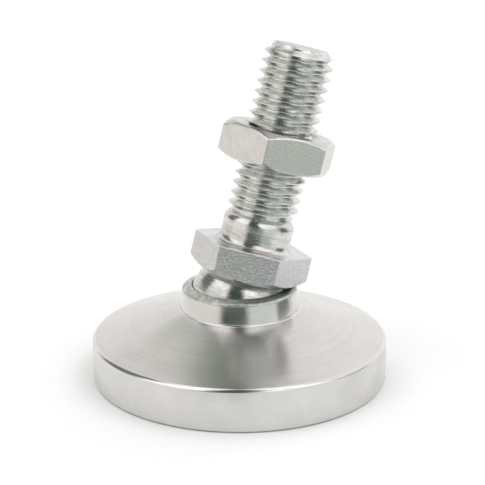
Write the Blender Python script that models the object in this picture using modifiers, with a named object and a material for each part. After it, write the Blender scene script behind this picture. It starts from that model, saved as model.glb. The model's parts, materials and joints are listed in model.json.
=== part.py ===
"""Furniture leveling foot: a turned base pad, a ball stud with an M12 thread and a hex jam nut.

The pad's collar is rolled over the ball, so the stud leans any way up to its stop, which is where
its hexagon meets the rolled lip. The stud is drawn leaning on that stop.
Frame: metres, +Z up, origin at the centre of the pad's underside.
"""
import math

import bmesh
import bpy
from mathutils import Matrix, Vector

# Base pad
BASE_DIAMETER = 0.0508
RIM_HEIGHT = 0.0069  # straight wall of the rim
RIM_CHAMFER = 0.00045
UNDERSIDE_CHAMFER = 0.0003
CONE_RISE = 0.0048  # from the rim's chamfer to the collar's foot
FOOT_FILLET = 0.00035  # in the corner between the cone and the collar

# Socket and its collar
SOCKET_FLOOR = 0.0038  # metal left under the ball
SOCKET_GAP = 0.00015  # all round the ball
COLLAR_WALL = 0.00145  # metal beside the ball at the collar's foot
COLLAR_TAPER = 0.0005  # how much less the collar's radius is at its shoulder
LIP_LATITUDE = math.radians(21.0)  # how far up the ball the rolled lip closes
LIP_ROUND = 0.00015  # radius of the lip's inner edge
LIP_SLOPE = math.radians(20.0)  # the lip falls this much towards the collar's wall
SHOULDER_ROUND = 0.00055  # where the lip turns down into the wall

# Ball stud, with heights along its own axis
BALL_DIAMETER = 0.0176
LEAN = math.radians(14.25)  # the stop's angle
LEAN_HEADING = math.radians(21.0)  # towards which the stud leans, from +X
STUD_TURN = math.radians(-5.5)  # of the hexagon, about the stud's axis
STOP_GAP = 0.00022  # between the hexagon and the lip at the stop
HEX_ACROSS_FLATS = 0.0178
HEX_THICKNESS = 0.0053
HEX_FACE_INSET = 0.0005  # of the circle that the corner chamfer leaves, in from the flats
HEX_RELIEF = math.radians(12.0)  # the underside rises this much towards the ball
CHAMFER_SLOPE = math.radians(30.0)  # of every hexagon's corner chamfer
SHANK_OVERSIZE = 0.0002  # how much more than the thread the shank's diameter is
SHANK_FILLET = 0.0010  # where the shank meets the hexagon
SHANK_LENGTH = 0.00385
NECK_OVERSIZE = 0.00074  # how much more than the thread's root the neck's diameter is
NECK_BEVEL = 0.0013  # height of the bevel from the shank to the neck

# Thread, M12 x 1.75 right-hand
THREAD_DIAMETER = 0.0120
THREAD_PITCH = 0.00175
THREAD_DEPTH = 0.6134 * THREAD_PITCH
THREAD_CREST = 0.125  # width of the crest flat, in pitches
THREAD_LENGTH = 0.0292  # from the neck to the end face
THREAD_PHASE = math.radians(37.0)  # turns the whole thread about the axis
END_CHAMFER = 0.0015  # at 45 degrees, round the flat end face

# Jam nut
NUT_ACROSS_FLATS = 0.0178
NUT_THICKNESS = 0.0060
NUT_FACE_INSET = 0.0003  # of the circle that the corner chamfer leaves, in from the flats
NUT_TURN = math.radians(16.8)
NUT_STAND = 0.01415  # from the stud's hexagon up to the nut
NUT_CLEARANCE = 0.00025  # round the thread's crest
NUT_COUNTERSINK = 0.0006

# Facets
TURNED_STEPS = 72
THREAD_STEPS = 32
ROOT_SINK = 0.0005  # how far one solid runs into the next before they are joined

BALL_RADIUS = BALL_DIAMETER / 2
SOCKET_RADIUS = BALL_RADIUS + SOCKET_GAP
BALL_CENTRE_Z = SOCKET_FLOOR + SOCKET_RADIUS
ROOT_DIAMETER = THREAD_DIAMETER - 2 * THREAD_DEPTH
NECK_DIAMETER = ROOT_DIAMETER + NECK_OVERSIZE
SHANK_DIAMETER = THREAD_DIAMETER + SHANK_OVERSIZE
END_DIAMETER = THREAD_DIAMETER - 2 * END_CHAMFER
HEX_FACE_DIAMETER = HEX_ACROSS_FLATS - 2 * HEX_FACE_INSET
NUT_FACE_DIAMETER = NUT_ACROSS_FLATS - 2 * NUT_FACE_INSET


def arc(centre, radius, start, end, count):
    """Points (r, z) along an arc, both ends included, angles in radians from +r."""
    return [
        (centre[0] + radius * math.cos(start + (end - start) * n / count),
         centre[1] + radius * math.sin(start + (end - start) * n / count))
        for n in range(count + 1)
    ]


def lip_outline():
    """The rolled lip as (r, z), from the ball over its crest to the top of the collar's wall."""
    inner = (SOCKET_RADIUS + LIP_ROUND) * math.cos(LIP_LATITUDE)
    height = BALL_CENTRE_Z + (SOCKET_RADIUS + LIP_ROUND) * math.sin(LIP_LATITUDE)
    facing = math.pi / 2 - LIP_SLOPE
    roll = arc((inner, height), LIP_ROUND, math.pi + LIP_LATITUDE, facing, 4)
    crest = roll[-1]
    centre_r = SOCKET_RADIUS + COLLAR_WALL - COLLAR_TAPER - SHOULDER_ROUND
    slope_end = centre_r + SHOULDER_ROUND * math.cos(facing)
    centre_z = crest[1] - (slope_end - crest[0]) * math.tan(LIP_SLOPE) - SHOULDER_ROUND * math.sin(facing)
    return roll + arc((centre_r, centre_z), SHOULDER_ROUND, facing, 0.0, 4)


def hex_stand():
    """Height of the hexagon's underside edge above the ball's centre.

    At the stop the relieved underside clears every point of the lip by the stop's gap.
    """
    edge = HEX_FACE_DIAMETER / 2
    needed = 0.0
    for r, z in lip_outline():
        up = z - BALL_CENTRE_Z
        height = r * math.sin(LEAN) + up * math.cos(LEAN)
        radius = r * math.cos(LEAN) - up * math.sin(LEAN)
        slope = math.tan(HEX_RELIEF) if radius < edge else math.tan(CHAMFER_SLOPE)
        needed = max(needed, height - abs(edge - radius) * slope)
    return needed + STOP_GAP / math.cos(LEAN)


HEX_BOTTOM = hex_stand()
HEX_TOP = HEX_BOTTOM + HEX_THICKNESS
SHANK_TOP = HEX_TOP + SHANK_LENGTH
NECK_TOP = SHANK_TOP + NECK_BEVEL
STUD_TOP = NECK_TOP + THREAD_LENGTH
NUT_MIDDLE = HEX_TOP + NUT_STAND + NUT_THICKNESS / 2


def clear_scene():
    """Remove every object and collection that the file opened with."""
    for item in list(bpy.data.objects):
        bpy.data.objects.remove(item, do_unlink=True)
    for group in list(bpy.data.collections):
        bpy.data.collections.remove(group)


def new_collection(name):
    group = bpy.data.collections.new(name)
    bpy.context.scene.collection.children.link(group)
    return group


def metal(name, colour, roughness):
    """A plain metallic material."""
    made = bpy.data.materials.new(name)
    made.use_nodes = True
    shader = made.node_tree.nodes["Principled BSDF"]
    shader.inputs["Base Color"].default_value = (*colour, 1.0)
    shader.inputs["Metallic"].default_value = 1.0
    shader.inputs["Roughness"].default_value = roughness
    return made


def add_object(name, mesh, group, material=None):
    made = bpy.data.objects.new(name, mesh)
    group.objects.link(made)
    if material:
        mesh.materials.append(material)
    return made


def turned(name, outline, group, material=None):
    """A solid of revolution about Z from (r, z) points that run down its outer side."""
    mesh = bpy.data.meshes.new(name)
    points = [(r, 0.0, z) for r, z in outline]
    mesh.from_pydata(points, [(n, n + 1) for n in range(len(points) - 1)], [])
    made = add_object(name, mesh, group, material)
    spin = made.modifiers.new("turn", "SCREW")
    spin.steps = TURNED_STEPS
    spin.render_steps = TURNED_STEPS
    spin.use_merge_vertices = True
    spin.merge_threshold = 0.000001
    return made


def corner_radius(across_flats):
    """Distance from a hexagon's axis to its corners."""
    return across_flats / math.sqrt(3)


def hexagon(name, across_flats, low, high, group, material=None):
    """A hexagonal bar along Z with a corner on its +X side."""
    bm = bmesh.new()
    bmesh.ops.create_cone(
        bm, cap_ends=True, segments=6, radius1=corner_radius(across_flats),
        radius2=corner_radius(across_flats), depth=high - low,
        matrix=Matrix.Translation((0, 0, (low + high) / 2)) @ Matrix.Rotation(math.pi / 2, 4, "Z"),
    )
    mesh = bpy.data.meshes.new(name)
    bm.to_mesh(mesh)
    bm.free()
    return add_object(name, mesh, group, material)


def thread_radius(turns):
    """The thread's radius where the profile has run this many pitches, crest at 0.5."""
    flank = THREAD_DEPTH * math.tan(math.radians(30)) / THREAD_PITCH
    off_crest = abs(turns % 1.0 - 0.5) - THREAD_CREST / 2
    sunk = min(max(off_crest / flank, 0.0), 1.0)
    return THREAD_DIAMETER / 2 - THREAD_DEPTH * sunk


def threaded_rod(name, low, high, group):
    """A right-hand thread along Z: a helical sheet trimmed flat at both ends, with the end chamfer."""
    flank = THREAD_DEPTH * math.tan(math.radians(30)) / THREAD_PITCH
    half = THREAD_CREST / 2
    marks = (0.5 - half - flank, 0.5 - half, 0.5 + half, 0.5 + half + flank)
    turns = math.ceil((high - low) / THREAD_PITCH) + 3
    start = low - THREAD_PITCH * (1.5 + THREAD_PHASE / math.tau)
    root = ROOT_DIAMETER / 2
    run_in = low + ROOT_SINK

    bm = bmesh.new()
    rows = []
    for row in range(turns * len(marks)):
        mark = row // len(marks) + marks[row % len(marks)]
        line = []
        for step in range(THREAD_STEPS):
            angle = math.tau * step / THREAD_STEPS
            height = start + THREAD_PITCH * (mark + angle / math.tau + 0.5)
            radius = thread_radius(mark)
            grown = min(max((height - run_in) / (0.5 * THREAD_PITCH), 0.0), 1.0)
            radius = root + (radius - root) * grown
            radius = min(radius, END_DIAMETER / 2 + max(high - height, 0.0))
            height = min(max(height, low), high)
            line.append(bm.verts.new((radius * math.cos(angle), radius * math.sin(angle), height)))
        rows.append(line)
    for row in range(len(rows) - 1):
        for step in range(THREAD_STEPS):
            seam = step == THREAD_STEPS - 1
            shift = len(marks) if seam else 0
            if row + 1 + shift >= len(rows):
                continue
            after = 0 if seam else step + 1
            bm.faces.new((rows[row][step], rows[row + shift][after],
                          rows[row + 1 + shift][after], rows[row + 1][step]))
    bmesh.ops.remove_doubles(bm, verts=bm.verts, dist=0.0000005)
    bmesh.ops.holes_fill(bm, edges=[e for e in bm.edges if e.is_boundary], sides=0)
    bmesh.ops.recalc_face_normals(bm, faces=bm.faces)
    mesh = bpy.data.meshes.new(name)
    bm.to_mesh(mesh)
    bm.free()
    return add_object(name, mesh, group)


def boolean(target, tool, operation):
    """Join, cut or trim the target with a tool solid."""
    step = target.modifiers.new(tool.name, "BOOLEAN")
    step.operation = operation
    step.solver = "EXACT"
    step.object = tool
    tool.hide_render = True
    tool.display_type = "WIRE"


def finish(item):
    """Smooth the round faces and keep the edges crisp."""
    item.data.shade_smooth()
    item.data.set_sharp_from_angle(angle=math.radians(30))


def make_base_pad(group, material):
    """The turned pad, with its spherical socket and the lip rolled over the ball."""
    radius = BASE_DIAMETER / 2
    rim_top = RIM_HEIGHT + RIM_CHAMFER
    foot_z = rim_top + CONE_RISE
    foot_r = SOCKET_RADIUS + COLLAR_WALL
    socket = arc((0, BALL_CENTRE_Z), SOCKET_RADIUS, -math.pi / 2, LIP_LATITUDE, 16)
    socket[0] = (0.0, socket[0][1])
    outside = [
        (foot_r, foot_z + FOOT_FILLET),
        (foot_r + FOOT_FILLET * 0.3, foot_z + FOOT_FILLET * 0.3),
        (foot_r + FOOT_FILLET, foot_z),
        (radius - RIM_CHAMFER, rim_top),
        (radius, RIM_HEIGHT),
        (radius, UNDERSIDE_CHAMFER),
        (radius - UNDERSIDE_CHAMFER, 0.0),
        (0.0, 0.0),
    ]
    pad = turned("base_pad", socket[:-1] + lip_outline() + outside, group, material)
    finish(pad)
    return pad


def make_ball_stud(group, cutters, material, joint):
    """The stud turned from hexagon bar: ball, hexagon, plain shank, neck and thread."""
    fillet = arc((SHANK_DIAMETER / 2 + SHANK_FILLET, HEX_TOP + SHANK_FILLET),
                 SHANK_FILLET, math.pi, math.pi * 1.44, 3)
    ball_top = math.asin(min(HEX_BOTTOM / BALL_RADIUS, 0.8))
    ball = arc((0, 0), BALL_RADIUS, ball_top, -math.pi / 2, 16)
    ball[-1] = (0.0, -BALL_RADIUS)
    core_r = ball[0][0]
    core = [(core_r, HEX_TOP - ROOT_SINK)] if core_r < fillet[-1][0] else []
    outline = [
        (0.0, NECK_TOP),
        (NECK_DIAMETER / 2, NECK_TOP),
        (SHANK_DIAMETER / 2, SHANK_TOP),
        *fillet,
        (fillet[-1][0], HEX_TOP - ROOT_SINK),
        *core,
        *ball,
    ]
    stud = turned("ball_stud", outline, group, material)
    hexagon_bar = hexagon("stud_hexagon", HEX_ACROSS_FLATS, HEX_BOTTOM - ROOT_SINK, HEX_TOP, cutters)
    corner = corner_radius(HEX_ACROSS_FLATS) + ROOT_SINK
    edge = HEX_FACE_DIAMETER / 2
    rise = (corner - edge) * math.tan(CHAMFER_SLOPE)
    trim = turned("stud_hexagon_trim", [
        (0.0, HEX_TOP + ROOT_SINK),
        (corner, HEX_TOP + ROOT_SINK),
        (corner, HEX_BOTTOM + rise),
        (edge, HEX_BOTTOM),
        (0.0, HEX_BOTTOM + edge * math.tan(HEX_RELIEF)),
    ], cutters)
    boolean(hexagon_bar, trim, "INTERSECT")
    boolean(stud, hexagon_bar, "UNION")
    thread = threaded_rod("stud_thread", NECK_TOP - ROOT_SINK, STUD_TOP, cutters)
    boolean(stud, thread, "UNION")
    for item in (stud, hexagon_bar, trim, thread):
        item.parent = joint
        item.rotation_euler = (0.0, 0.0, STUD_TURN)
    finish(stud)
    return stud


def make_jam_nut(group, cutters, material, joint):
    """The thin nut, chamfered on both faces, with a bore that clears the thread."""
    half = NUT_THICKNESS / 2
    nut = hexagon("jam_nut", NUT_ACROSS_FLATS, -half, half, group, material)
    corner = corner_radius(NUT_ACROSS_FLATS) + ROOT_SINK
    edge = NUT_FACE_DIAMETER / 2
    rise = (corner - edge) * math.tan(CHAMFER_SLOPE)
    trim = turned("nut_trim", [
        (0.0, half + ROOT_SINK),
        (edge - ROOT_SINK / math.tan(CHAMFER_SLOPE), half + ROOT_SINK),
        (corner, half - rise),
        (corner, rise - half),
        (edge - ROOT_SINK / math.tan(CHAMFER_SLOPE), -half - ROOT_SINK),
        (0.0, -half - ROOT_SINK),
    ], cutters)
    bore_r = THREAD_DIAMETER / 2 + NUT_CLEARANCE
    wide = bore_r + NUT_COUNTERSINK
    bore = turned("nut_bore", [
        (0.0, half + ROOT_SINK),
        (wide + ROOT_SINK, half + ROOT_SINK),
        (bore_r, half - NUT_COUNTERSINK),
        (bore_r, NUT_COUNTERSINK - half),
        (wide + ROOT_SINK, -half - ROOT_SINK),
        (0.0, -half - ROOT_SINK),
    ], cutters)
    boolean(nut, trim, "INTERSECT")
    boolean(nut, bore, "DIFFERENCE")
    for item in (nut, trim, bore):
        item.parent = joint
        item.location = (0.0, 0.0, NUT_MIDDLE)
        item.rotation_euler = (0.0, 0.0, NUT_TURN)
    finish(nut)
    return nut


def main():
    clear_scene()
    parts = new_collection("leveling_foot")
    cutters = new_collection("cutters")
    joint = bpy.data.objects.new("ball_joint", None)
    parts.objects.link(joint)
    joint.location = (0.0, 0.0, BALL_CENTRE_Z)
    tilt_axis = Vector((-math.sin(LEAN_HEADING), math.cos(LEAN_HEADING), 0.0))
    joint.rotation_euler = Matrix.Rotation(LEAN, 3, tilt_axis).to_euler()

    make_base_pad(parts, metal("turned_steel", (0.62, 0.61, 0.58), 0.28))
    make_ball_stud(parts, cutters, metal("plated_stud_steel", (0.58, 0.58, 0.55), 0.30), joint)
    make_jam_nut(parts, cutters, metal("plated_nut_steel", (0.60, 0.59, 0.56), 0.34), joint)


main()
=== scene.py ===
"""Looks of the furniture leveling foot: a turned base pad, a leaning ball stud and a jam nut.

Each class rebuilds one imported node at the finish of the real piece: turned, rolled over, drawn or
threaded zinc-plated steel. Sizes are in millimetres and become metres as the meshes are made.
"""
import json
import logging
import math
from collections.abc import Callable, Mapping, Sequence
from dataclasses import dataclass, field
from enum import Enum
from typing import Any

import bmesh
import bpy
import numpy as np
from mathutils import Matrix, Vector, noise


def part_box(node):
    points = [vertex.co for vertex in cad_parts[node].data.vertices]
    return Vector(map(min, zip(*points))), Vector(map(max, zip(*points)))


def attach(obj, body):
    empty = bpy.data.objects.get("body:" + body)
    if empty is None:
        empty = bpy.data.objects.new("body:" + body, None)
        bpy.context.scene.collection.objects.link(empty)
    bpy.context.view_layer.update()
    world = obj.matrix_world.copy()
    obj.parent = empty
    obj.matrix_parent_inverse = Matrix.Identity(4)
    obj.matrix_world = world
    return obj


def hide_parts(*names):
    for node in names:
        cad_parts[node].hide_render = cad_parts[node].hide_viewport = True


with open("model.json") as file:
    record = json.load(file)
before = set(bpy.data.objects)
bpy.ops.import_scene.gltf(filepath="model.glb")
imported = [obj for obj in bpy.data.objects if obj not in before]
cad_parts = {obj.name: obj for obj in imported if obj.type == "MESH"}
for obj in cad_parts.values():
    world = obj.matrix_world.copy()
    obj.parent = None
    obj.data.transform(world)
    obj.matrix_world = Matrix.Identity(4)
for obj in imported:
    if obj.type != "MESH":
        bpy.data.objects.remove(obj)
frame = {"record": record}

LOG = logging.getLogger("leveling_foot")
MM = 0.001
# Points of a mesh nearer than this, in metres, are one point.
WELD = 4e-7
# The lowest and highest values of a noise that the roughness and the shade spread over.
ROUGH_BAND = (0.3, 0.7)
SHADE_BAND = (0.32, 0.68)
# A quarter turn from the tangent: a highlight spreads across the rings, not along them.
ACROSS_RINGS = 0.25
Height = float | np.ndarray


# ---------------------------------------------------------------- colour and nodes


def linear(code: str, strength: float = 1.0) -> tuple[float, float, float, float]:
    """Turn an sRGB hex colour into linear RGBA.

    Args:
        code: The colour as "#RRGGBB".
        strength: A factor on the three colours.

    Returns:
        The linear red, green, blue and an alpha of 1.
    """
    values = [int(code[place:place + 2], 16) / 255 for place in (1, 3, 5)]
    light = [v / 12.92 if v <= 0.04045 else ((v + 0.055) / 1.055) ** 2.4 for v in values]
    return light[0] * strength, light[1] * strength, light[2] * strength, 1.0


def add_node(
    tree: bpy.types.NodeTree,
    kind: str,
    inputs: Mapping[str | int, Any] | None = None,
    **settings: Any,
) -> bpy.types.Node:
    """Add a node with its settings and links.

    Args:
        tree: The node tree that takes the node.
        kind: The node's type.
        inputs: Value or output socket for each input, by name or number.
        **settings: Properties of the node, set before its inputs.

    Returns:
        The new node.
    """
    made = tree.nodes.new(kind)
    for name, value in settings.items():
        setattr(made, name, value)
    for place, value in (inputs or {}).items():
        if isinstance(value, bpy.types.NodeSocket):
            tree.links.new(value, made.inputs[place])
        else:
            made.inputs[place].default_value = value
    return made


# ---------------------------------------------------------------- finishes


class Lay(Enum):
    """Which measure the lathe's rings step along."""

    FACE = "out from the axis"
    WALL = "along the axis"
    CONE = "both at once"


@dataclass(frozen=True)
class Finish:
    """One finish of the zinc-plated steel.

    The marks are rings that a lathe leaves, the grain is the fine texture of the plating and of the
    bar under it, and the mottle is slow patches in how bright the plating came out. A real feed is
    about 0.1 mm and the grain finer still, which wouldn't show in a render, so both are drawn at
    about 0.3 mm or more.
    """

    name: str
    colour: str
    shade: str
    roughness: float
    roughness_spread: float = 0.05
    lay: Lay = Lay.CONE
    anisotropy: float = 0.0
    mark_mm: float = 0.3
    mark_depth_mm: float = 0.0
    mark_colour: float = 0.0
    mark_length: float = 2.0
    grain_mm: float = 0.2
    grain_depth_mm: float = 0.0
    grain_colour: float = 0.0
    mottle_mm: float = 3.0
    mottle_depth_mm: float = 0.0
    mottle_colour: float = 0.3

    def build(self) -> bpy.types.Material:
        """Make the material.

        Returns:
            The finish as a material with procedural nodes.
        """
        made = bpy.data.materials.new(self.name)
        made.use_nodes = True
        tree = made.node_tree
        tree.nodes.clear()
        place = add_node(tree, "ShaderNodeTexCoord").outputs["Object"]
        marks = self.marks(tree, place)
        grain = add_node(tree, "ShaderNodeTexNoise", {
            "Vector": place, "Scale": 1 / (self.grain_mm * MM), "Detail": 2.0, "Roughness": 0.6,
        }).outputs["Fac"]
        mottle = add_node(tree, "ShaderNodeTexNoise", {
            "Vector": place, "Scale": 1 / (self.mottle_mm * MM), "Detail": 3.0, "Roughness": 0.55,
        }).outputs["Fac"]
        patches = self.mix(tree, mottle, grain, marks)
        colour = add_node(tree, "ShaderNodeMix", {
            0: patches, 6: linear(self.colour), 7: linear(self.shade),
        }, data_type="RGBA").outputs[2]
        rough = add_node(tree, "ShaderNodeMapRange", {
            0: mottle, 1: ROUGH_BAND[0], 2: ROUGH_BAND[1],
            3: self.roughness - self.roughness_spread, 4: self.roughness + self.roughness_spread,
        }).outputs[0]
        normal = self.relief(tree, marks, grain, mottle)
        inputs: dict[str | int, Any] = {
            "Base Color": colour, "Metallic": 1.0, "Roughness": rough,
            "Anisotropic": self.anisotropy, "Anisotropic Rotation": ACROSS_RINGS,
        }
        if normal:
            inputs["Normal"] = normal
        if self.anisotropy:
            inputs["Tangent"] = add_node(
                tree, "ShaderNodeTangent", direction_type="RADIAL", axis="Z").outputs[0]
        shader = add_node(tree, "ShaderNodeBsdfPrincipled", inputs)
        add_node(tree, "ShaderNodeOutputMaterial", {"Surface": shader.outputs[0]})
        return made

    def marks(self, tree: bpy.types.NodeTree, place: bpy.types.NodeSocket) -> bpy.types.NodeSocket:
        """Add the lathe's rings: noise that is long round the axis and short across it.

        Args:
            tree: The material's node tree.
            place: The point on the piece.

        Returns:
            The height of the marks, from 0 to 1.
        """
        parts = add_node(tree, "ShaderNodeSeparateXYZ", {0: place})
        flat = add_node(tree, "ShaderNodeVectorMath", {0: place, 1: (1, 1, 0)},
                        operation="MULTIPLY").outputs[0]
        out = add_node(tree, "ShaderNodeVectorMath", {0: flat}, operation="LENGTH").outputs[1]
        aim = add_node(tree, "ShaderNodeVectorMath", {0: flat}, operation="NORMALIZE").outputs[0]
        along = {
            Lay.FACE: out,
            Lay.WALL: parts.outputs[2],
            Lay.CONE: add_node(tree, "ShaderNodeMath", {0: out, 1: parts.outputs[2]}).outputs[0],
        }[self.lay]
        step = add_node(tree, "ShaderNodeMath", {0: along, 1: 1 / (self.mark_mm * MM)},
                        operation="MULTIPLY").outputs[0]
        lift = add_node(tree, "ShaderNodeCombineXYZ", {2: step}).outputs[0]
        spread = add_node(tree, "ShaderNodeVectorMath", {0: aim, "Scale": self.mark_length},
                          operation="SCALE").outputs[0]
        where = add_node(tree, "ShaderNodeVectorMath", {0: spread, 1: lift}).outputs[0]
        return add_node(tree, "ShaderNodeTexNoise", {
            "Vector": where, "Scale": 1.0, "Detail": 2.0, "Roughness": 0.6}).outputs["Fac"]

    def mix(self, tree: bpy.types.NodeTree, *layers: bpy.types.NodeSocket) -> bpy.types.NodeSocket:
        """Weigh the mottle, the grain and the marks into how much of the shade shows.

        Args:
            tree: The material's node tree.
            *layers: The three noises.

        Returns:
            The share of the shade, from 0 to 1.
        """
        total: Any = 0.0
        for layer, weight in zip(layers, (self.mottle_colour, self.grain_colour, self.mark_colour)):
            crisp = add_node(tree, "ShaderNodeMapRange", {
                0: layer, 1: SHADE_BAND[0], 2: SHADE_BAND[1], 3: 0.0, 4: weight,
            }, interpolation_type="SMOOTHSTEP")
            total = add_node(tree, "ShaderNodeMath", {0: total, 1: crisp.outputs[0]}).outputs[0]
        return total

    def relief(
        self, tree: bpy.types.NodeTree, *layers: bpy.types.NodeSocket
    ) -> bpy.types.NodeSocket | None:
        """Chain a bump for each layer that has a depth.

        Args:
            tree: The material's node tree.
            *layers: The marks, the grain and the mottle.

        Returns:
            The bumped normal, or None where every layer is flat.
        """
        normal = None
        depths = (self.mark_depth_mm, self.grain_depth_mm, self.mottle_depth_mm)
        for layer, depth in zip(layers, depths):
            if not depth:
                continue
            inputs: dict[str | int, Any] = {
                "Height": layer, "Distance": depth * MM, "Strength": 1.0}
            if normal:
                inputs["Normal"] = normal
            normal = add_node(tree, "ShaderNodeBump", inputs).outputs[0]
        return normal


# Bright zinc over fine turning: the cone spreads each reflection into a fan from the collar.
CONE = Finish(
    "zinc_plated_steel_fine_turned_cone", "#D8D6D4", "#C6C6C3", 0.2, 0.02, Lay.FACE, 0.5,
    mark_mm=0.34, mark_depth_mm=0.0013, mark_colour=0.28, mark_length=0.8,
    mottle_mm=6.0, mottle_colour=0.25)
# The rim's wall came off the lathe at the same feed but plated duller: a soft even grey.
RIM = Finish(
    "zinc_plated_steel_turned_rim", "#DCDAD8", "#CFCDCA", 0.33, 0.05, Lay.WALL, 0.3,
    mark_mm=0.9, mark_depth_mm=0.002, mark_colour=0.12, mark_length=6.0,
    grain_mm=0.5, grain_colour=0.12, mottle_mm=4.0, mottle_colour=0.4)
# Burnished by the form tool: the narrow chamfers mirror the studio in hard black and white.
EDGE = Finish(
    "zinc_plated_steel_burnished_edge", "#DEDCDC", "#CFCDCC", 0.17, 0.03, Lay.CONE, 0.0,
    mark_mm=0.5, mark_colour=0.1, mottle_mm=2.0, mottle_colour=0.2)
# The collar's wall is burnished as the lip is rolled: a clear dark band with soft edges.
COLLAR = Finish(
    "zinc_plated_steel_burnished_collar", "#DAD7D5", "#C9C7C3", 0.18, 0.03, Lay.WALL, 0.35,
    mark_mm=0.35, mark_depth_mm=0.0016, mark_colour=0.2, mark_length=1.5,
    mottle_mm=2.5, mottle_colour=0.25)
# The lip was hammered down over the ball: small dents, matt and mottled grey-green.
LIP = Finish(
    "zinc_plated_steel_peened_lip", "#E2E4DF", "#A6ACA6", 0.38, 0.08, Lay.FACE, 0.0,
    mark_mm=0.4, mark_depth_mm=0.004, mark_colour=0.15, mark_length=9.0,
    grain_mm=0.28, grain_depth_mm=0.03, grain_colour=0.45,
    mottle_mm=0.9, mottle_depth_mm=0.05, mottle_colour=0.45)
# The ball keeps its form tool's grooves, which comb every highlight into lines.
BALL = Finish(
    "zinc_plated_steel_grooved_ball", "#DFDDDC", "#AEB1AD", 0.19, 0.04, Lay.WALL, 0.35,
    mark_mm=0.34, mark_depth_mm=0.035, mark_colour=0.55, mark_length=1.5,
    grain_mm=0.28, grain_depth_mm=0.008, grain_colour=0.25, mottle_mm=1.5, mottle_colour=0.2)
# Cold drawn bar, pickled before plating: the hexagon's flats are grainy and matt.
BAR_FLAT = Finish(
    "zinc_plated_steel_drawn_bar_flat", "#DCDADB", "#9FA5A0", 0.3, 0.04, Lay.WALL, 0.0,
    grain_mm=0.3, grain_depth_mm=0.1, grain_colour=0.36,
    mottle_mm=0.8, mottle_depth_mm=0.02, mottle_colour=0.1)
# Faced with a coarse feed: the hexagon's top and its relief are pale, with rings round the shank.
FACED = Finish(
    "zinc_plated_steel_faced_shoulder", "#DEDCE1", "#C8C8CC", 0.3, 0.05, Lay.FACE, 0.4,
    mark_mm=0.3, mark_depth_mm=0.014, mark_colour=0.35, mark_length=1.5,
    mottle_mm=2.0, mottle_colour=0.2)
# The plain shank is turned smooth, so a dark stripe runs down its middle.
SHANK = Finish(
    "zinc_plated_steel_smooth_turned_shank", "#E8E4E3", "#CED0CB", 0.28, 0.05, Lay.WALL, 0.45,
    mark_mm=0.32, mark_depth_mm=0.006, mark_colour=0.35, mark_length=2.5,
    grain_mm=0.28, grain_depth_mm=0.008, grain_colour=0.35, mottle_mm=1.0, mottle_colour=0.3)
# The fillet and the bevel show the tip of the turning tool: deep rings break up each highlight.
FILLET = Finish(
    "zinc_plated_steel_turned_fillet", "#E0DDDD", "#B4B6B2", 0.2, 0.04, Lay.CONE, 0.4,
    mark_mm=0.3, mark_depth_mm=0.03, mark_colour=0.5, mark_length=2.0,
    grain_mm=0.28, grain_depth_mm=0.006, grain_colour=0.2, mottle_mm=1.2, mottle_colour=0.2)
# Rolled thread: the flanks are pressed smooth, with faint lines and spots in the plating.
THREAD = Finish(
    "zinc_plated_steel_rolled_thread", "#EAE9E8", "#B4B9B4", 0.23, 0.04, Lay.WALL, 0.0,
    mark_mm=0.3, mark_depth_mm=0.006, mark_colour=0.45, mark_length=3.0,
    grain_mm=0.3, grain_depth_mm=0.006, grain_colour=0.2, mottle_mm=1.2, mottle_colour=0.18)
# Cropped and chamfered: the end face shows faint rings and a few dull spots.
END = Finish(
    "zinc_plated_steel_cropped_end", "#D9D7DA", "#BDBFC0", 0.34, 0.05, Lay.FACE, 0.2,
    mark_mm=0.4, mark_depth_mm=0.004, mark_colour=0.25, mark_length=2.0,
    grain_mm=0.3, grain_depth_mm=0.004, grain_colour=0.2, mottle_mm=1.5, mottle_colour=0.3)
# Cold formed nut: its flats are pressed smooth, with cloudy plating.
NUT_FLAT = Finish(
    "zinc_plated_steel_pressed_nut_flat", "#DEDBD9", "#B4B7B3", 0.27, 0.05, Lay.WALL, 0.0,
    grain_mm=0.34, grain_depth_mm=0.03, grain_colour=0.16,
    mottle_mm=1.6, mottle_depth_mm=0.012, mottle_colour=0.2)
# The nut's faces and chamfers are turned: a little greyer than its flats, with rings.
NUT_FACE = Finish(
    "zinc_plated_steel_turned_nut_face", "#D2D0D0", "#B6B8B5", 0.25, 0.05, Lay.FACE, 0.35,
    mark_mm=0.3, mark_depth_mm=0.005, mark_colour=0.3, mark_length=1.8,
    mottle_mm=1.5, mottle_colour=0.25)
# Painted shade: the bore and the socket are coloured dark grey, as shade falls in the hollows.
HOLLOW = Finish(
    "oiled_steel_bore", "#8B8A88", "#6E6E6C", 0.4, 0.06, Lay.WALL, 0.0,
    mark_mm=0.4, mark_depth_mm=0.006, mark_colour=0.3, mottle_mm=1.5, mottle_colour=0.3)


# ---------------------------------------------------------------- meshes


def arc(
    centre: tuple[float, float], radius: float, start: float, end: float, count: int
) -> list[tuple[float, float]]:
    """Points (r, z) along an arc, both ends included.

    Args:
        centre: The arc's centre as (r, z).
        radius: The arc's radius.
        start: Its first angle in radians, from +r.
        end: Its last angle.
        count: How many steps it takes.

    Returns:
        The points in order.
    """
    angles = np.linspace(start, end, count + 1)
    return [(centre[0] + radius * math.cos(a), centre[1] + radius * math.sin(a)) for a in angles]


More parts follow.
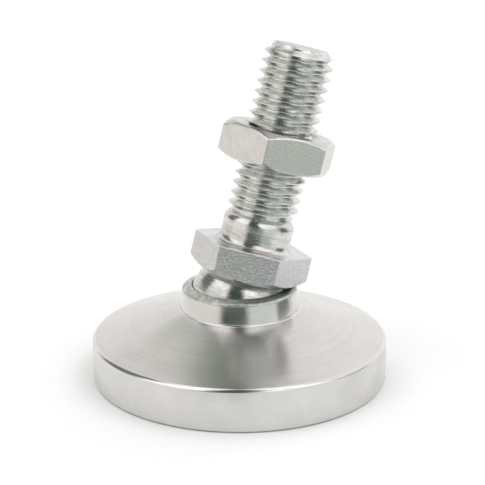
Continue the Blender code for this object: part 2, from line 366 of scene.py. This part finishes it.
@dataclass(frozen=True)
class Hexagon:
    """A hexagon with rounded corners, seen along its axis, with a corner at angle 0."""

    across_flats: float
    corner_round: float
    least_round: float = 0.02
    steps_round: int = 6
    steps_flat: int = 28

    @property
    def turn(self) -> float:
        """Work out how far from a corner its rounding meets the flat.

        Returns:
            The angle in radians.
        """
        half = self.across_flats / 2
        reach = (half - self.corner_round) * math.tan(math.pi / 6)
        return math.pi / 6 - math.atan(reach / half)

    def angles(self) -> np.ndarray:
        """Choose the angles to sample, closer together at the corners.

        Returns:
            The angles in radians, once round.
        """
        side = np.concatenate([
            np.linspace(-self.turn, self.turn, self.steps_round, endpoint=False),
            np.linspace(self.turn, math.pi / 3 - self.turn, self.steps_flat, endpoint=False),
        ])
        return np.concatenate([side + number * math.pi / 3 for number in range(6)])

    def reach(self, angles: np.ndarray, inset: float = 0.0) -> np.ndarray:
        """Distance from the axis to the hexagon's side.

        Args:
            angles: The angles to look along.
            inset: How far in from the side.

        Returns:
            The distance at each angle.
        """
        half = self.across_flats / 2 - inset
        rounding = max(self.corner_round - inset, self.least_round)
        off = np.abs((angles + math.pi / 6) % (math.pi / 3) - math.pi / 6)
        flat = half / np.cos(math.pi / 6 - off)
        centre = (half - rounding) / math.cos(math.pi / 6)
        chord = np.maximum(rounding ** 2 - (centre * np.sin(off)) ** 2, 0.0)
        corner = centre * np.cos(off) + np.sqrt(chord)
        turn = math.pi / 6 - math.atan((half - rounding) * math.tan(math.pi / 6) / half)
        return np.where(off < turn, corner, flat)


class Skin:
    """A closed skin of rings that share their angles, each strip with its own finish."""

    def __init__(self, angles: np.ndarray) -> None:
        """Start with no rings.

        Args:
            angles: The angles in radians that every ring has its points at.
        """
        self.angles = angles
        self.finishes: list[Finish] = []
        self.mesh = bmesh.new()
        self.last: list[bmesh.types.BMVert] = []

    def slot(self, finish: Finish) -> int:
        """Find the material slot of a finish, and add it where it is new.

        Args:
            finish: The finish.

        Returns:
            The slot's number.
        """
        if finish not in self.finishes:
            self.finishes.append(finish)
        return self.finishes.index(finish)

    def ring(self, radius: Height, height: Height, finish: Finish) -> None:
        """Add a ring and the strip from the ring before.

        Args:
            radius: Its radius in millimetres, the same all round or one for each angle.
            height: Its height, in the same way.
            finish: The strip's finish.
        """
        if isinstance(radius, float) and radius == 0.0:
            fresh = [self.mesh.verts.new((0.0, 0.0, float(height) * MM))]
        else:
            across = np.broadcast_to(radius, self.angles.shape) * MM
            up = np.broadcast_to(height, self.angles.shape) * MM
            fresh = [self.mesh.verts.new((r * math.cos(a), r * math.sin(a), z))
                     for a, r, z in zip(self.angles, across, up)]
        if self.last:
            self.strip(self.last, fresh, self.slot(finish))
        self.last = fresh

    def strip(self, upper: list[Any], lower: list[Any], slot: int) -> None:
        """Join two rings, or a ring and a pole, with faces.

        Args:
            upper: The points of the ring before.
            lower: The points of the new ring.
            slot: The faces' material slot.
        """
        count = max(len(upper), len(lower))
        for step in range(count):
            after = (step + 1) % count
            corners = [upper[step % len(upper)], lower[step % len(lower)],
                       lower[after % len(lower)], upper[after % len(upper)]]
            face = self.mesh.faces.new(list(dict.fromkeys(corners)))
            face.material_index = slot

    def outline(self, points: Sequence[tuple[float, float]], finish: Finish) -> None:
        """Add a turned stretch, one ring for each (r, z) point."""
        for radius, height in points:
            self.ring(float(radius), height, finish)

    def close(self) -> None:
        """End one shell, so that the next ring starts another."""
        self.last = []

    def shift(self, move: Callable[[Vector], Vector]) -> None:
        """Move every point by a function of its place."""
        for point in self.mesh.verts:
            point.co = move(point.co)

    def piece(self, name: str, place: Matrix, sharp_degrees: float = 32.0) -> bpy.types.Object:
        """Finish the mesh and put it in the scene.

        Args:
            name: The piece's name.
            place: Where it goes in the row frame.
            sharp_degrees: Edges that turn more than this stay crisp.

        Returns:
            The new object.
        """
        bmesh.ops.recalc_face_normals(self.mesh, faces=self.mesh.faces)
        mesh = bpy.data.meshes.new(name)
        self.mesh.to_mesh(mesh)
        self.mesh.free()
        mesh.shade_smooth()
        mesh.set_sharp_from_angle(angle=math.radians(sharp_degrees))
        for finish in self.finishes:
            mesh.materials.append(materials(finish))
        made = bpy.data.objects.new(name, mesh)
        bpy.context.scene.collection.objects.link(made)
        made.matrix_world = place
        return made


def materials(finish: Finish) -> bpy.types.Material:
    """The finish's material, made once."""
    return bpy.data.materials.get(finish.name) or finish.build()


# ---------------------------------------------------------------- the three pieces


def stud_place() -> tuple[Matrix, Matrix]:
    """Work out where the base's and the stud's own frames are.

    Returns:
        The base's frame, and the stud's with its origin at the ball's centre and +Z along the stud.
    """
    joints = {joint["name"]: joint for joint in frame["record"]["behaviour"]["joints"]}
    centre = Vector(joints["stud_tilt"]["pos_m"])
    along = Vector(joints["nut_travel"]["axis"]).normalized()
    tilt = Vector(joints["stud_tilt"]["axis"]).normalized()
    lean = Vector((0, 0, 1)).angle(along)
    return Matrix.Identity(4), Matrix.Translation(centre) @ Matrix.Rotation(lean, 4, tilt)


@dataclass
class BasePad:
    """The turned base with its socket and the lip rolled over the ball.

    Heights are from the floor. The shoulder's band and the crest's ring are how far out and down
    they lie, and the edge's rings how far out and up, the last two in edge roundings.
    """

    ball_centre: float
    radius: float
    rim_height: float = 6.9
    rim_chamfer: float = 0.45
    underside_chamfer: float = 0.3
    edge_round: float = 0.09
    cone_rise: float = 4.8
    foot_fillet: float = 0.3
    foot_lift: float = 1.2
    foot_band: float = 0.4
    collar_foot: float = 10.4
    collar_top: float = 9.9
    ball_radius: float = 8.8
    lip_gap: float = 0.07
    lip_round: float = 0.16
    lip_latitude: float = math.radians(22.6)
    lip_slope: float = math.radians(20.0)
    slope_shares: tuple[float, ...] = (0.17, 0.34, 0.5, 0.67, 0.84)
    shoulder_round: float = 0.5
    shoulder_band: tuple[float, float] = (0.012, 0.05)
    cone_shares: tuple[float, ...] = (0.02, 0.2, 0.4, 0.6, 0.8)
    crest_ring: tuple[float, float] = (0.4, 0.2)
    edge_rings: tuple[tuple[float, float], ...] = ((-0.6, 0.9), (-0.12, 0.25), (0.0, -0.5))
    underside_shares: tuple[float, ...] = (0.75, 0.5, 0.25, 0.05)
    dent_mm: float = 0.035
    dent_heights: tuple[float, float] = (15.3, 15.6)
    dent_widths: tuple[float, float] = (0.75, 0.35)
    dent_fine: float = 0.5
    dent_offset: float = 0.9
    roll_steps: int = 6
    foot_steps: int = 5
    socket_steps: int = 24
    steps: int = 300

    def lip(self) -> tuple[list[tuple[float, float]], list[tuple[float, float]]]:
        """Work out the lip's outline.

        Returns:
            The inner roll, and the slope with the shoulder, as (r, z) points.
        """
        around = self.ball_radius + self.lip_gap + self.lip_round
        centre = (around * math.cos(self.lip_latitude),
                  self.ball_centre + around * math.sin(self.lip_latitude))
        facing = math.pi / 2 - self.lip_slope
        roll = arc(centre, self.lip_round, math.pi + self.lip_latitude, facing, self.roll_steps)
        shoulder_r = self.collar_top - self.shoulder_round
        end_r = shoulder_r + self.shoulder_round * math.cos(facing)
        drop = (end_r - roll[-1][0]) * math.tan(self.lip_slope)
        shoulder_z = roll[-1][1] - drop - self.shoulder_round * math.sin(facing)
        slope = [(roll[-1][0] + (end_r - roll[-1][0]) * share, roll[-1][1] - drop * share)
                 for share in self.slope_shares]
        return roll, slope + arc(
            (shoulder_r, shoulder_z), self.shoulder_round, facing, 0.0, self.roll_steps)

    def dent(self, point: Vector) -> Vector:
        """Peen the lip: push its points down by a fixed noise, so none rises into the hexagon.

        Args:
            point: A point of the skin.

        Returns:
            The point, moved where it lies on the lip.
        """
        r = math.hypot(point.x, point.y) / MM
        z = point.z / MM
        low, high = self.dent_heights
        share = min(max((z - low) / (high - low), 0.0), 1.0)
        if not share or r < self.ball_radius * math.cos(self.lip_latitude):
            return point
        wide, narrow = (width * MM for width in self.dent_widths)
        wave = noise.noise(point / wide) + self.dent_fine * noise.noise(point / narrow)
        depth = (wave + self.dent_offset) * share * self.dent_mm * MM
        return point - Vector((0, 0, 1)) * depth

    def build(self, place: Matrix) -> bpy.types.Object:
        """Make the piece.

        Args:
            place: The base's frame.

        Returns:
            The base pad.
        """
        skin = Skin(np.linspace(0, math.tau, self.steps, endpoint=False))
        roll, over = self.lip()
        socket = self.ball_radius + self.lip_gap
        inside = arc((0, self.ball_centre), socket, -math.pi / 2, self.lip_latitude,
                     self.socket_steps)
        # The socket is painted dark grey: painted shade in the hollow.
        skin.ring(0.0, inside[0][1], HOLLOW)
        skin.outline(inside[1:-1], HOLLOW)
        skin.outline(roll, LIP)
        skin.outline(over, LIP)
        self.wall(skin, over[-1])
        skin.shift(self.dent)
        return skin.piece("base_pad_turned", place)

    def wall(self, skin: Skin, wall_top: tuple[float, float]) -> None:
        """Add the collar's wall, the cone, the rim and the underside.

        Args:
            skin: The skin that takes the rings.
            wall_top: Where the shoulder ends, as (r, z).
        """
        rim_top = self.rim_height + self.rim_chamfer
        cone_foot = rim_top + self.cone_rise
        lean = math.atan2(self.collar_foot - self.collar_top, wall_top[1] - cone_foot)
        fall = math.atan2(self.cone_rise, self.radius - self.rim_chamfer - self.collar_foot)
        out, down = self.shoulder_band
        skin.ring(wall_top[0] + out, wall_top[1] - down, EDGE)
        skin.ring(self.collar_foot - self.foot_band * math.tan(lean), cone_foot + self.foot_band,
                  COLLAR)
        foot = arc((self.collar_foot + self.foot_fillet,
                    cone_foot + self.foot_fillet * self.foot_lift),
                   self.foot_fillet, math.pi - lean, 1.5 * math.pi - fall, self.foot_steps)
        skin.outline(foot[:1], COLLAR)
        skin.outline(foot[1:], EDGE)
        chamfer_r = self.radius - self.rim_chamfer
        slide = self.edge_round
        for share in self.cone_shares:
            skin.ring(foot[-1][0] + (chamfer_r - slide - foot[-1][0]) * share,
                      foot[-1][1] + (rim_top - foot[-1][1]) * share, CONE)
        skin.ring(chamfer_r - slide, rim_top + slide * math.tan(fall), CONE)
        out, down = self.crest_ring
        skin.ring(chamfer_r + slide * out, rim_top - slide * down, EDGE)
        for out, up in self.edge_rings:
            skin.ring(self.radius + slide * out, self.rim_height + slide * up, EDGE)
        skin.ring(self.radius, self.rim_height / 2, RIM)
        skin.ring(self.radius, self.underside_chamfer, RIM)
        skin.ring(self.radius - self.underside_chamfer, 0.0, EDGE)
        for share in self.underside_shares:
            skin.ring(self.radius * share, 0.0, CONE)
        skin.ring(0.0, 0.0, CONE)


@dataclass
class BallStud:
    """The stud turned from hexagon bar: ball, hexagon, shank, neck and thread.

    Heights are from the ball's centre along the stud. A break or a cap is how far it stands in and
    up, and what is sunk is a share of the thread's depth.
    """

    ball_radius: float = 8.8
    ball_end: float = -math.pi / 2 * 0.96
    ball_steps: int = 60
    ball_overlap: float = 0.1
    hexagon: Hexagon = Hexagon(17.8, 0.14)
    hex_bottom: float = 5.467
    hex_top: float = 10.767
    hex_face: float = 8.4
    hex_relief: float = math.radians(12.0)
    relief_radii: tuple[float, ...] = (8.0, 7.4)
    hex_turn: float = math.radians(-5.5)
    chamfer_slope: float = math.radians(30.0)
    flat_shares: tuple[float, ...] = (0.25, 0.5, 0.75)
    top_break: float = 0.07
    faced_radius: float = 7.9
    shank_radius: float = 6.1
    shank_fillet: float = 1.3
    fillet_end: float = math.pi * 1.47
    fillet_steps: int = 10
    shank_top: float = 14.617
    shank_band: float = 1.0
    shank_break: tuple[float, float] = (0.03, 0.05)
    bevel_middle: tuple[float, float] = (5.98, 15.1)
    neck_radius: float = 5.3
    neck_top: float = 15.917
    neck_cap: tuple[float, float] = (0.45, 0.1)
    thread_radius: float = 6.0
    pitch: float = 1.75
    depth: float = 1.0735
    crest_flat: float = 0.125
    soft: float = 0.022
    crest_ease: float = 0.6
    root_ease: float = 1.5
    sunk_low: float = 0.93
    sunk_high: float = 0.08
    sunk_root: float = 0.995
    run_out: float = 0.5
    top: float = 45.117
    end_radius: float = 4.5
    thread_phase: float = math.radians(37.0)
    thread_steps: int = 96
    spare_turns: int = 3
    sink: float = 0.4
    sharp_degrees: float = 38.0

    def body(self, skin: Skin) -> None:
        """Add the turned body and the hexagon.

        Args:
            skin: The skin that takes the rings.
        """
        angles = skin.angles
        side = self.hexagon.reach(angles)
        rise = math.tan(self.chamfer_slope)
        inset, lift = self.neck_cap
        skin.ring(0.0, self.neck_top + lift, THREAD)
        skin.ring(self.neck_radius - inset, self.neck_top + lift, THREAD)
        skin.ring(self.neck_radius, self.neck_top, THREAD)
        skin.ring(*self.bevel_middle, FILLET)
        inset, lift = self.shank_break
        skin.ring(self.shank_radius - inset, self.shank_top + lift, FILLET)
        skin.ring(self.shank_radius, self.shank_top - lift, SHANK)
        skin.ring(self.shank_radius, self.shank_top - self.shank_band, SHANK)
        centre = (self.shank_radius + self.shank_fillet, self.hex_top + self.shank_fillet)
        skin.outline(arc(centre, self.shank_fillet, math.pi, self.fillet_end, self.fillet_steps),
                     FILLET)
        skin.ring(self.faced_radius, self.hex_top, FACED)
        skin.ring(self.hexagon.reach(angles, self.top_break), self.hex_top, FACED)
        skin.ring(side, self.hex_top - self.top_break, EDGE)
        lower = self.hex_bottom + (side - self.hex_face) * rise
        for share in self.flat_shares:
            skin.ring(side, (self.hex_top - self.top_break) * (1 - share) + lower * share, BAR_FLAT)
        skin.ring(side, lower, BAR_FLAT)
        skin.ring(self.hex_face, self.hex_bottom, FACED)
        under = [(r, self.hex_bottom + (self.hex_face - r) * math.tan(self.hex_relief))
                 for r in self.relief_radii]
        skin.outline(under, FACED)
        meet = math.asin((under[-1][1] + self.ball_overlap) / self.ball_radius)
        skin.outline(arc((0, 0), self.ball_radius, meet, self.ball_end, self.ball_steps), BALL)
        skin.ring(0.0, -self.ball_radius, BALL)
        skin.close()

    def profile(self) -> list[tuple[float, float]]:
        """Draw one pitch of the thread, its crest in the middle, with softened corners.

        Returns:
            The points as (share of a pitch, share of the depth sunk from the crest).
        """
        flank = self.depth * math.tan(math.pi / 6) / self.pitch
        half = self.crest_flat / 2
        root_from = half + flank
        soft = self.soft
        rising = [(0.5 - root_from + soft, self.sunk_low), (0.5 - half - soft, self.sunk_high),
                  (0.5 - half + soft * self.crest_ease, 0.0)]
        falling = [(1.0 - share, sunk) for share, sunk in reversed(rising)]
        root = soft * self.root_ease
        return [(0.0, 1.0), (0.5 - root_from - root, self.sunk_root), *rising, *falling,
                (0.5 + root_from + root, self.sunk_root)]

    def thread(self, skin: Skin) -> None:
        """Add the right-hand thread as a helical sheet, closed flat at both ends.

        Args:
            skin: The skin whose mesh takes the thread.
        """
        work = bmesh.new()
        marks = self.profile()
        low, high = self.neck_top - self.sink, self.top
        turns = math.ceil((high - low) / self.pitch) + self.spare_turns
        start = low - self.pitch * (self.spare_turns / 2 + self.thread_phase / math.tau)
        run_in = low + self.sink
        rows = []
        for row in range(turns * len(marks)):
            share, sunk = marks[row % len(marks)]
            line = []
            for step in range(self.thread_steps):
                angle = math.tau * step / self.thread_steps
                turned = row // len(marks) + share + angle / math.tau + 0.5
                height = start + self.pitch * turned
                grown = min(max((height - run_in) / (self.run_out * self.pitch), 0.0), 1.0)
                root = self.thread_radius - self.depth
                radius = root + self.depth * (1 - sunk) * grown
                radius = min(radius, self.end_radius + max(high - height, 0.0))
                height = min(max(height, low), high)
                line.append(work.verts.new((
                    radius * math.cos(angle) * MM, radius * math.sin(angle) * MM, height * MM)))
            rows.append(line)
        slot, end_slot = skin.slot(THREAD), skin.slot(END)
        for row in range(len(rows) - 1):
            for step in range(self.thread_steps):
                seam = step == self.thread_steps - 1
                shift = len(marks) if seam else 0
                if row + 1 + shift >= len(rows):
                    continue
                after = 0 if seam else step + 1
                face = work.faces.new((rows[row][step], rows[row + shift][after],
                                       rows[row + 1 + shift][after], rows[row + 1][step]))
                face.material_index = slot
        bmesh.ops.remove_doubles(work, verts=work.verts, dist=WELD)
        ends = bmesh.ops.holes_fill(work, edges=[e for e in work.edges if e.is_boundary], sides=0)
        for face in ends["faces"]:
            face.material_index = end_slot
        mesh = bpy.data.meshes.new("thread_work")
        work.to_mesh(mesh)
        work.free()
        skin.mesh.from_mesh(mesh)
        bpy.data.meshes.remove(mesh)

    def build(self, place: Matrix) -> bpy.types.Object:
        """Make the piece.

        Args:
            place: The stud's frame.

        Returns:
            The ball stud.
        """
        skin = Skin(self.hexagon.angles())
        self.body(skin)
        self.thread(skin)
        turned = place @ Matrix.Rotation(self.hex_turn, 4, "Z")
        return skin.piece("ball_stud_threaded", turned, self.sharp_degrees)


@dataclass
class JamNut:
    """The thin hexagon nut that locks the stud's thread, its middle measured from the ball."""

    middle: float = 27.917
    thickness: float = 6.0
    hexagon: Hexagon = Hexagon(17.8, 0.2)
    face_radius: float = 8.6
    bore_radius: float = 6.07
    countersink: float = 0.6
    chamfer_slope: float = math.radians(30.0)
    turn: float = math.radians(16.8)
    edge_break: float = 0.1
    flat_shares: tuple[float, float] = (0.3, 0.7)
    sharp_degrees: float = 28.0

    def build(self, place: Matrix) -> bpy.types.Object:
        """Make the piece.

        Args:
            place: The stud's frame.

        Returns:
            The jam nut.
        """
        skin = Skin(self.hexagon.angles())
        side = self.hexagon.reach(skin.angles)
        half = self.thickness / 2
        fall = (side - self.face_radius) * math.tan(self.chamfer_slope)
        wide = self.bore_radius + self.countersink
        small = self.edge_break
        self.face(skin, half, wide, 1.0)
        cone_r = self.face_radius + (side - self.face_radius) / 2
        skin.ring(cone_r, half - fall / 2, NUT_FACE)
        skin.ring(side - small, half - fall + small / 2, NUT_FACE)
        skin.ring(side, half - fall - small, EDGE)
        for share in self.flat_shares:
            skin.ring(side, (half - fall) * (1 - 2 * share), NUT_FLAT)
        skin.ring(side, fall - half + small, NUT_FLAT)
        skin.ring(side - small, fall - half - small / 2, EDGE)
        skin.ring(cone_r, fall / 2 - half, NUT_FACE)
        self.face(skin, half, wide, -1.0)
        # The bore is painted dark grey: painted shade in the hollow.
        skin.outline([(self.bore_radius, 0.0)], HOLLOW)
        self.bridge(skin)
        lifted = place @ Matrix.Translation((0, 0, self.middle * MM))
        turned = lifted @ Matrix.Rotation(self.turn, 4, "Z")
        return skin.piece("jam_nut_pressed", turned, self.sharp_degrees)

    def face(self, skin: Skin, half: float, wide: float, up: float) -> None:
        """Add one flat face with its countersink, going out on top and in below.

        Args:
            skin: The skin that takes the rings.
            half: Half the nut's thickness.
            wide: The countersink's radius at the face.
            up: 1 for the top face, -1 for the bottom one.
        """
        points = [(self.bore_radius, half - self.countersink), (wide, half),
                  ((wide + self.face_radius) / 2, half), (self.face_radius, half)]
        for radius, height in (points if up > 0 else reversed(points)):
            skin.ring(radius, height * up, NUT_FACE)

    def bridge(self, skin: Skin) -> None:
        """Join the last ring of the bore to the first.

        Args:
            skin: The nut's skin, with all its rings.
        """
        skin.mesh.verts.ensure_lookup_table()
        first = [skin.mesh.verts[number] for number in range(len(skin.angles))]
        # The bore's last strip takes the same painted shade.
        skin.strip(skin.last, first, skin.slot(HOLLOW))


# ---------------------------------------------------------------- studio


class Side(Enum):
    """Which way azimuth 0 of a panel looks, as the axis that points there."""

    FRONT = -1.0
    BACK = 1.0


@dataclass(frozen=True)
class Panel:
    """A soft-edged patch of the studio's walls, in degrees of azimuth and elevation."""

    side: Side
    azimuth: tuple[float, float]
    elevation: tuple[float, float]
    colour: str
    strength: float
    soft: tuple[float, float] = (8.0, 8.0)


PANELS = (
    # the warm left wall and the cooler right one, low down, with a dim corner on the right
    Panel(Side.FRONT, (-128.0, -34.0), (-24.0, 20.0), "#FFFBF6", 0.98),
    Panel(Side.FRONT, (10.0, 118.0), (-7.0, 22.0), "#F6FFF8", 0.84, (2.5, 3.0)),
    Panel(Side.FRONT, (76.0, 121.0), (-12.0, 22.0), "#F0FFF6", 0.24, (1.5, 3.0)),
    # a dim doorway on the left
    Panel(Side.FRONT, (-131.0, -93.0), (14.0, 58.0), "#F0FFF2", 0.22, (5.0, 6.0)),
    # soft boxes above the front, with a bank of lamps overhead that has a gap in the middle
    Panel(Side.FRONT, (-100.0, 100.0), (64.0, 120.0), "#FFFEFD", 1.35, (20.0, 5.0)),
    Panel(Side.FRONT, (-92.0, -28.0), (33.0, 84.0), "#FFFDFA", 1.5, (5.0, 6.0)),
    Panel(Side.FRONT, (8.0, 46.0), (28.0, 84.0), "#FFFFFF", 1.55, (5.0, 6.0)),
    Panel(Side.FRONT, (57.0, 84.0), (30.0, 84.0), "#FFFFFF", 1.5, (5.0, 6.0)),
    Panel(Side.FRONT, (-36.0, 34.0), (57.0, 89.0), "#DDFFD8", 0.06, (10.0, 2.0)),
    # the dark room beyond the front of the table, the paler sill and the black gap under it, and
    # the dim floor to the right of them
    Panel(Side.FRONT, (-33.0, 12.0), (8.0, 57.0), "#DFFFE7", 0.1, (7.0, 2.0)),
    Panel(Side.FRONT, (-33.0, 13.0), (0.0, 13.0), "#DFFFE7", 0.24, (7.0, 2.0)),
    Panel(Side.FRONT, (-35.0, 16.0), (-10.0, 1.0), "#CCFFD8", 0.035, (8.0, 1.5)),
    Panel(Side.FRONT, (4.0, 50.0), (-34.0, -8.0), "#EEFFF2", 0.42, (6.0, 2.0)),
    # the bright right rear wall
    Panel(Side.BACK, (10.0, 70.0), (-10.0, 52.0), "#FFFDFC", 1.08, (2.0, 8.0)),
    # the dim upper rear of the room, which the cone's front mirrors, with its darker middle and
    # the black post at its edge
    Panel(Side.BACK, (-23.0, 14.0), (30.0, 110.0), "#EEFFEA", 0.32, (7.0, 5.0)),
    Panel(Side.BACK, (-6.0, 12.0), (36.0, 80.0), "#EEFFEA", 0.11, (5.0, 5.0)),
    Panel(Side.BACK, (8.5, 13.5), (34.0, 70.0), "#E6FFE6", 0.03, (1.2, 3.0)),
)


@dataclass
class Studio:
    """Pale floor, soft light and the camera, with every length in millimetres."""

    target: Vector = field(default_factory=lambda: Vector((0.5217, 0.0, 23.659)) * MM)
    distance: float = 228.6
    elevation: float = math.radians(17.09)
    lens: float = 99.6
    sensor: float = 36.0
    clip: tuple[float, float] = (10.0, 10000.0)
    card_radius: float = 90.0
    card_drop: float = 0.02
    floor_radius: float = 500.0
    floor_drop: float = 0.05
    floor_sides: int = 128
    fibre: float = 10 / 9
    dome_radius: float = 600.0
    lamp_width: float = 1600.0
    lamp_height: float = 900.0
    lamp_watts: float = 6.2
    world_strength: float = 1.02

    def camera(self) -> bpy.types.Object:
        """Make the camera and set it as the scene's.

        Returns:
            The camera.
        """
        made = bpy.data.objects.new("camera", bpy.data.cameras.new("camera"))
        made.data.lens = self.lens
        made.data.sensor_width = self.sensor
        made.data.clip_start, made.data.clip_end = (reach * MM for reach in self.clip)
        back = Vector((0.0, -math.cos(self.elevation), math.sin(self.elevation)))
        made.location = self.target + back * self.distance * MM
        made.rotation_euler = back.to_track_quat("Z", "Y").to_euler()
        bpy.context.scene.collection.objects.link(made)
        bpy.context.scene.camera = made
        return made

    def dome_material(self) -> bpy.types.Material:
        """Make the studio's walls: near white with the panels, all by direction from the foot.

        Returns:
            The walls' material.
        """
        made = bpy.data.materials.new("painted_studio_walls")
        made.use_nodes = True
        made.cycles.emission_sampling = "NONE"
        tree = made.node_tree
        tree.nodes.clear()
        place = add_node(tree, "ShaderNodeTexCoord").outputs["Object"]
        aim = add_node(tree, "ShaderNodeVectorMath", {0: place}, operation="NORMALIZE").outputs[0]
        parts = add_node(tree, "ShaderNodeSeparateXYZ", {0: aim}).outputs
        up = add_node(tree, "ShaderNodeMath", {0: parts[2]}, operation="ARCSINE").outputs[0]
        colour: Any = linear("#FFFDFB")
        for panel in PANELS:
            ahead = add_node(tree, "ShaderNodeMath", {0: parts[1], 1: panel.side.value},
                             operation="MULTIPLY").outputs[0]
            around = add_node(tree, "ShaderNodeMath", {0: parts[0], 1: ahead},
                              operation="ARCTAN2").outputs[0]
            masks = [self.window(tree, *given) for given in (
                (around, panel.azimuth, panel.soft[0]), (up, panel.elevation, panel.soft[1]))]
            mask = add_node(tree, "ShaderNodeMath", {0: masks[0], 1: masks[1]},
                            operation="MULTIPLY").outputs[0]
            colour = add_node(tree, "ShaderNodeMix", {
                0: mask, 6: colour, 7: linear(panel.colour, panel.strength),
            }, data_type="RGBA").outputs[2]
        light = add_node(tree, "ShaderNodeEmission", {"Color": colour, "Strength": 1.0})
        add_node(tree, "ShaderNodeOutputMaterial", {"Surface": light.outputs[0]})
        return made

    def window(
        self, tree: bpy.types.NodeTree, angle: bpy.types.NodeSocket,
        limits: tuple[float, float], soft: float,
    ) -> bpy.types.NodeSocket:
        """A smooth window on an angle.

        Args:
            tree: The material's node tree.
            angle: The angle in radians.
            limits: Where the window begins and ends, in degrees.
            soft: Half the width of its soft edges, in degrees.

        Returns:
            1 inside the window, 0 outside.
        """
        middle = math.radians(sum(limits) / 2)
        half = math.radians(abs(limits[1] - limits[0]) / 2)
        edge = min(math.radians(soft), half)
        off = add_node(tree, "ShaderNodeMath", {0: angle, 1: middle},
                       operation="SUBTRACT").outputs[0]
        far = add_node(tree, "ShaderNodeMath", {0: off}, operation="ABSOLUTE").outputs[0]
        return add_node(tree, "ShaderNodeMapRange", {
            0: far, 1: half - edge, 2: half + edge, 3: 1.0, 4: 0.0,
        }, interpolation_type="SMOOTHSTEP").outputs[0]

    def dome(self) -> bpy.types.Object:
        """Make the walls as a sphere that the lens doesn't see.

        Returns:
            The walls.
        """
        work = bmesh.new()
        bmesh.ops.create_icosphere(work, subdivisions=4, radius=self.dome_radius * MM)
        mesh = bpy.data.meshes.new("studio_walls")
        work.to_mesh(mesh)
        work.free()
        mesh.materials.append(self.dome_material())
        made = bpy.data.objects.new("studio_walls", mesh)
        made.location = (0.0, 0.0, self.target.z)
        made.visible_camera = False
        made.visible_shadow = False
        bpy.context.scene.collection.objects.link(made)
        return made

    def paper(self) -> bpy.types.Material:
        """Make the white card of the table top, matt with a faint fibre.

        Returns:
            The card's material.
        """
        made = bpy.data.materials.new("white_card_table_top")
        made.use_nodes = True
        tree = made.node_tree
        tree.nodes.clear()
        place = add_node(tree, "ShaderNodeTexCoord").outputs["Object"]
        fibre = add_node(tree, "ShaderNodeTexNoise", {
            "Vector": place, "Scale": 1 / (self.fibre * MM), "Detail": 2.0})
        tone = add_node(tree, "ShaderNodeMix", {
            0: fibre.outputs["Fac"], 6: linear("#F4F4F4"), 7: linear("#F0F0F0")}, data_type="RGBA")
        shader = add_node(tree, "ShaderNodeBsdfPrincipled", {
            "Base Color": tone.outputs[2], "Roughness": 0.9, "Specular IOR Level": 0.0})
        add_node(tree, "ShaderNodeOutputMaterial", {"Surface": shader.outputs[0]})
        return made

    def floor(self) -> list[bpy.types.Object]:
        """Make the floor, and the round card under the foot that the metal mirrors.

        Returns:
            The card and the floor.
        """
        paper = self.paper()
        made = []
        for name, radius, drop in (("card", self.card_radius, self.card_drop),
                                   ("floor", self.floor_radius, self.floor_drop)):
            work = bmesh.new()
            bmesh.ops.create_circle(
                work, cap_ends=True, segments=self.floor_sides, radius=radius * MM)
            mesh = bpy.data.meshes.new(name)
            work.to_mesh(mesh)
            work.free()
            mesh.materials.append(paper)
            sheet = bpy.data.objects.new(name, mesh)
            sheet.location = (0.0, 0.0, -drop * MM)
            bpy.context.scene.collection.objects.link(sheet)
            made.append(sheet)
        made[1].visible_glossy = False
        return made

    def lamp(self) -> bpy.types.Object:
        """Make the wide overhead light that whitens the table, which the metal doesn't mirror.

        Returns:
            The lamp.
        """
        data = bpy.data.lights.new("overhead", "AREA")
        data.shape = "DISK"
        data.size = self.lamp_width * MM
        data.energy = self.lamp_watts
        data.color = linear("#F7FBFF")[:3]
        made = bpy.data.objects.new("overhead", data)
        made.location = (0.0, 0.0, self.lamp_height * MM)
        made.visible_glossy = False
        made.visible_camera = False
        bpy.context.scene.collection.objects.link(made)
        return made

    def build(self) -> None:
        """Set up the whole studio."""
        world = bpy.data.worlds.new("white_room")
        bpy.context.scene.world = world
        world.use_nodes = True
        light = world.node_tree.nodes["Background"].inputs
        light["Color"].default_value = linear("#FFFFFF")
        light["Strength"].default_value = self.world_strength
        scene = bpy.context.scene
        scene.view_settings.view_transform = "Standard"
        scene.view_settings.look = "None"
        self.camera()
        self.lamp()
        self.dome()
        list(self.floor())


# ---------------------------------------------------------------- everything together


def main() -> None:
    """Build the three pieces, put each on its body and set up the studio."""
    logging.basicConfig(level=logging.INFO, format="%(name)s: %(message)s")
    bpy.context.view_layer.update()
    base_place, stud_frame = stud_place()
    low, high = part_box("base_pad")
    pad = BasePad(ball_centre=stud_frame.translation.z / MM, radius=(high[0] - low[0]) / 2 / MM)
    made = (
        (pad.build(base_place), "base", "base_pad", "base_steel"),
        (BallStud().build(stud_frame), "stud", "ball_stud", "stud_steel"),
        (JamNut().build(stud_frame), "nut", "jam_nut", "nut_steel"),
    )
    for piece, body, node, slot in made:
        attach(piece, body)
        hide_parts(node)
        LOG.info("%s rides on %s: %d faces, %d finishes", piece.name, body,
                 len(piece.data.polygons), len(piece.data.materials))
    Studio().build()


if __name__ == "__main__":
    main()
